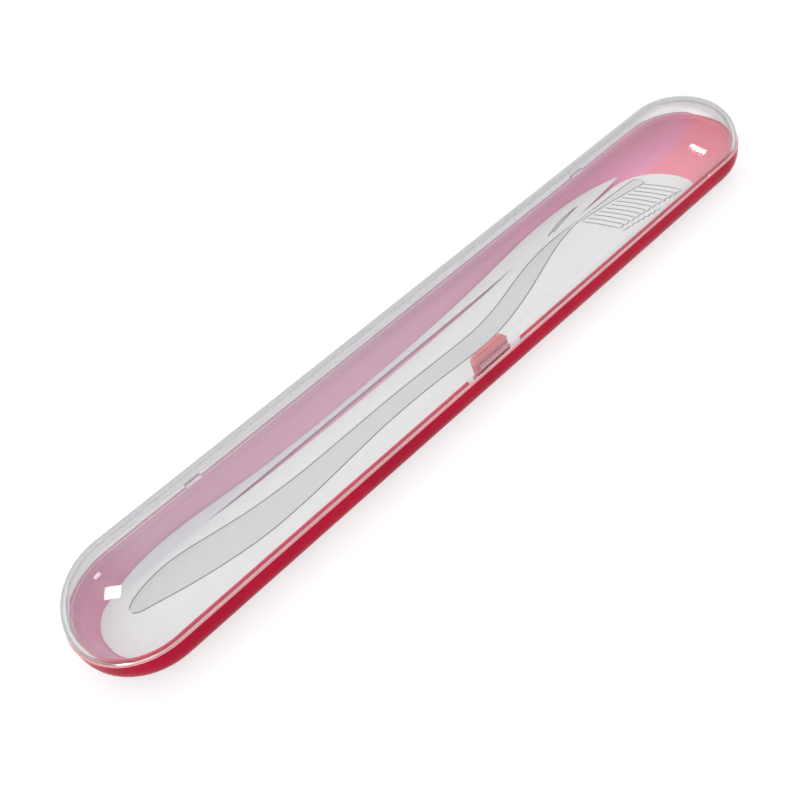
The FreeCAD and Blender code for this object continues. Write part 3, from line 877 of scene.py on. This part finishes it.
class CASE_OT_stage(Operator):
    """Set the floor, the light and the camera"""

    bl_idname = "toothbrush_case.stage"
    bl_label = "Studio"

    def execute(self, context):
        sizes = context.scene.case_looks.stage
        self.lay_floor()
        self.set_world(context.scene, sizes)
        self.set_lamps()
        self.set_camera(context.scene, sizes)
        context.scene.view_settings.view_transform = "Standard"
        return {"FINISHED"}

    def lay_floor(self):
        """A pale floor that takes a soft shadow and is white where nothing shades it."""
        deselect()
        bpy.ops.mesh.primitive_plane_add(size=FLOOR_SIZE, location=(0.0, 0.0, -FLOOR_DROP))
        floor = bpy.context.object
        floor.name = "floor"
        material, tree, shader = new_material("pale_floor")
        shader.inputs["Base Color"].default_value = (FLOOR_GREY, FLOOR_GREY, FLOOR_GREY, 1.0)
        shader.inputs["Roughness"].default_value = 0.8
        shader.inputs["Specular IOR Level"].default_value = 0.0
        shader.inputs["Emission Color"].default_value = (1.0, 1.0, 1.0, 1.0)
        glow = maths(tree, "MULTIPLY", seen_as_background(tree), FLOOR_GLOW)
        tree.links.new(glow, shader.inputs["Emission Strength"])
        floor.data.materials.append(material)

    def set_world(self, scene, sizes):
        """A studio that lights from behind and above, and is white wherever it is seen."""
        world = bpy.data.worlds.new("studio")
        scene.world = world
        world.use_nodes = True
        tree = world.node_tree
        sky = tree.nodes["Background"]
        sky.inputs["Color"].default_value = SKY_TINT
        way = add(tree, "ShaderNodeTexCoord").outputs["Generated"]
        toward = add(tree, "ShaderNodeVectorMath", {"operation": "DOT_PRODUCT"})
        tree.links.new(way, toward.inputs[0])
        toward.inputs[1].default_value = BEHIND_CASE
        up = parts(tree, way)["Z"]
        high = ramp(tree, up, *SKY_HEIGHT, start=sizes.low_light, end=sizes.far_light)
        behind = ramp(tree, toward.outputs["Value"], *BEHIND_EDGE)
        extra = maths(tree, "SUBTRACT", high, sizes.near_light)
        level = maths(tree, "MULTIPLY_ADD", extra, behind, sizes.near_light)
        to_white = maths(tree, "SUBTRACT", 1.0, level)
        strength = maths(tree, "MULTIPLY_ADD", to_white, seen_as_background(tree), level)
        tree.links.new(strength, sky.inputs["Strength"])

    def set_lamps(self):
        """The windows of light that show in the lid's near and far ends."""
        for name, direction, long_axis, size in NEAR_WINDOWS:
            self.window(name, Vector(NEAR_GLINT), direction, long_axis, size)
        for number, (glint, direction) in enumerate(FAR_BAR):
            point = Vector(glint) * MM
            round_the_case = Vector((1.0, 0.0, 0.0)).cross(Vector(direction))
            self.window(f"far_window_{number}", point, direction, round_the_case, FAR_LAMP_SIZE)

    def window(self, name, point, direction, long_axis, size):
        """A lamp that shows only as a glint in glossy faces round point."""
        deselect()
        toward = Vector(direction).normalized()
        across = Vector(long_axis).cross(toward).normalized()
        along = toward.cross(across)
        bpy.ops.object.light_add(type="AREA")
        lamp = bpy.context.object
        lamp.name = name
        lamp.matrix_world = placed(across, along, toward, point + toward * LAMP_DISTANCE)
        lamp.data.shape = "RECTANGLE"
        lamp.data.size = size[0]
        lamp.data.size_y = size[1]
        lamp.data.energy = LAMP_BRIGHTNESS * math.pi * size[0] * size[1]
        lamp.visible_diffuse = False

    def set_camera(self, scene, sizes):
        """The camera fitted to the photo."""
        deselect()
        bpy.ops.object.camera_add()
        camera = bpy.context.object
        camera.name = "photo_camera"
        turn, height, roll = sizes.azimuth, sizes.elevation, sizes.roll
        flat = math.cos(height)
        back = Vector((math.sin(turn) * flat, -math.cos(turn) * flat, math.sin(height)))
        right = Vector((math.cos(turn), math.sin(turn), 0.0))
        up = back.cross(right)
        across = right * math.cos(roll) + up * math.sin(roll)
        upward = up * math.cos(roll) - right * math.sin(roll)
        place = Vector(sizes.aim) + back * sizes.distance
        camera.matrix_world = placed(across, upward, back, place)
        camera.data.sensor_width = SENSOR_WIDTH
        camera.data.lens = sizes.lens
        camera.data.clip_start, camera.data.clip_end = CLIP_RANGE
        scene.camera = camera


class CASE_PT_panel(Panel):
    """Lists the steps that dress the case"""

    bl_label = "Toothbrush Case"
    bl_space_type = "VIEW_3D"
    bl_region_type = "UI"
    bl_category = "Case"

    def draw(self, context):
        looks = context.scene.case_looks
        for group in (looks.colours, looks.printing, looks.stage):
            box = self.layout.box()
            for name in group.__annotations__:
                box.prop(group, name)
        for step in STEPS:
            self.layout.operator(step.bl_idname)


STEPS = (CASE_OT_tray, CASE_OT_lid, CASE_OT_pins, CASE_OT_card, CASE_OT_print, CASE_OT_stage)
CLASSES = (CaseColours, PrintSizes, StageSizes, CaseLooks) + STEPS + (CASE_PT_panel,)


def register():
    for item in CLASSES:
        bpy.utils.register_class(item)
    bpy.types.Scene.case_looks = PointerProperty(type=CaseLooks)


def unregister():
    del bpy.types.Scene.case_looks
    for item in reversed(CLASSES):
        bpy.utils.unregister_class(item)


def main():
    register()
    bpy.ops.toothbrush_case.tray()
    bpy.ops.toothbrush_case.lid()
    bpy.ops.toothbrush_case.pins()
    bpy.ops.toothbrush_case.card()
    bpy.ops.toothbrush_case.print()
    bpy.ops.toothbrush_case.stage()


if __name__ == "__main__":
    main()
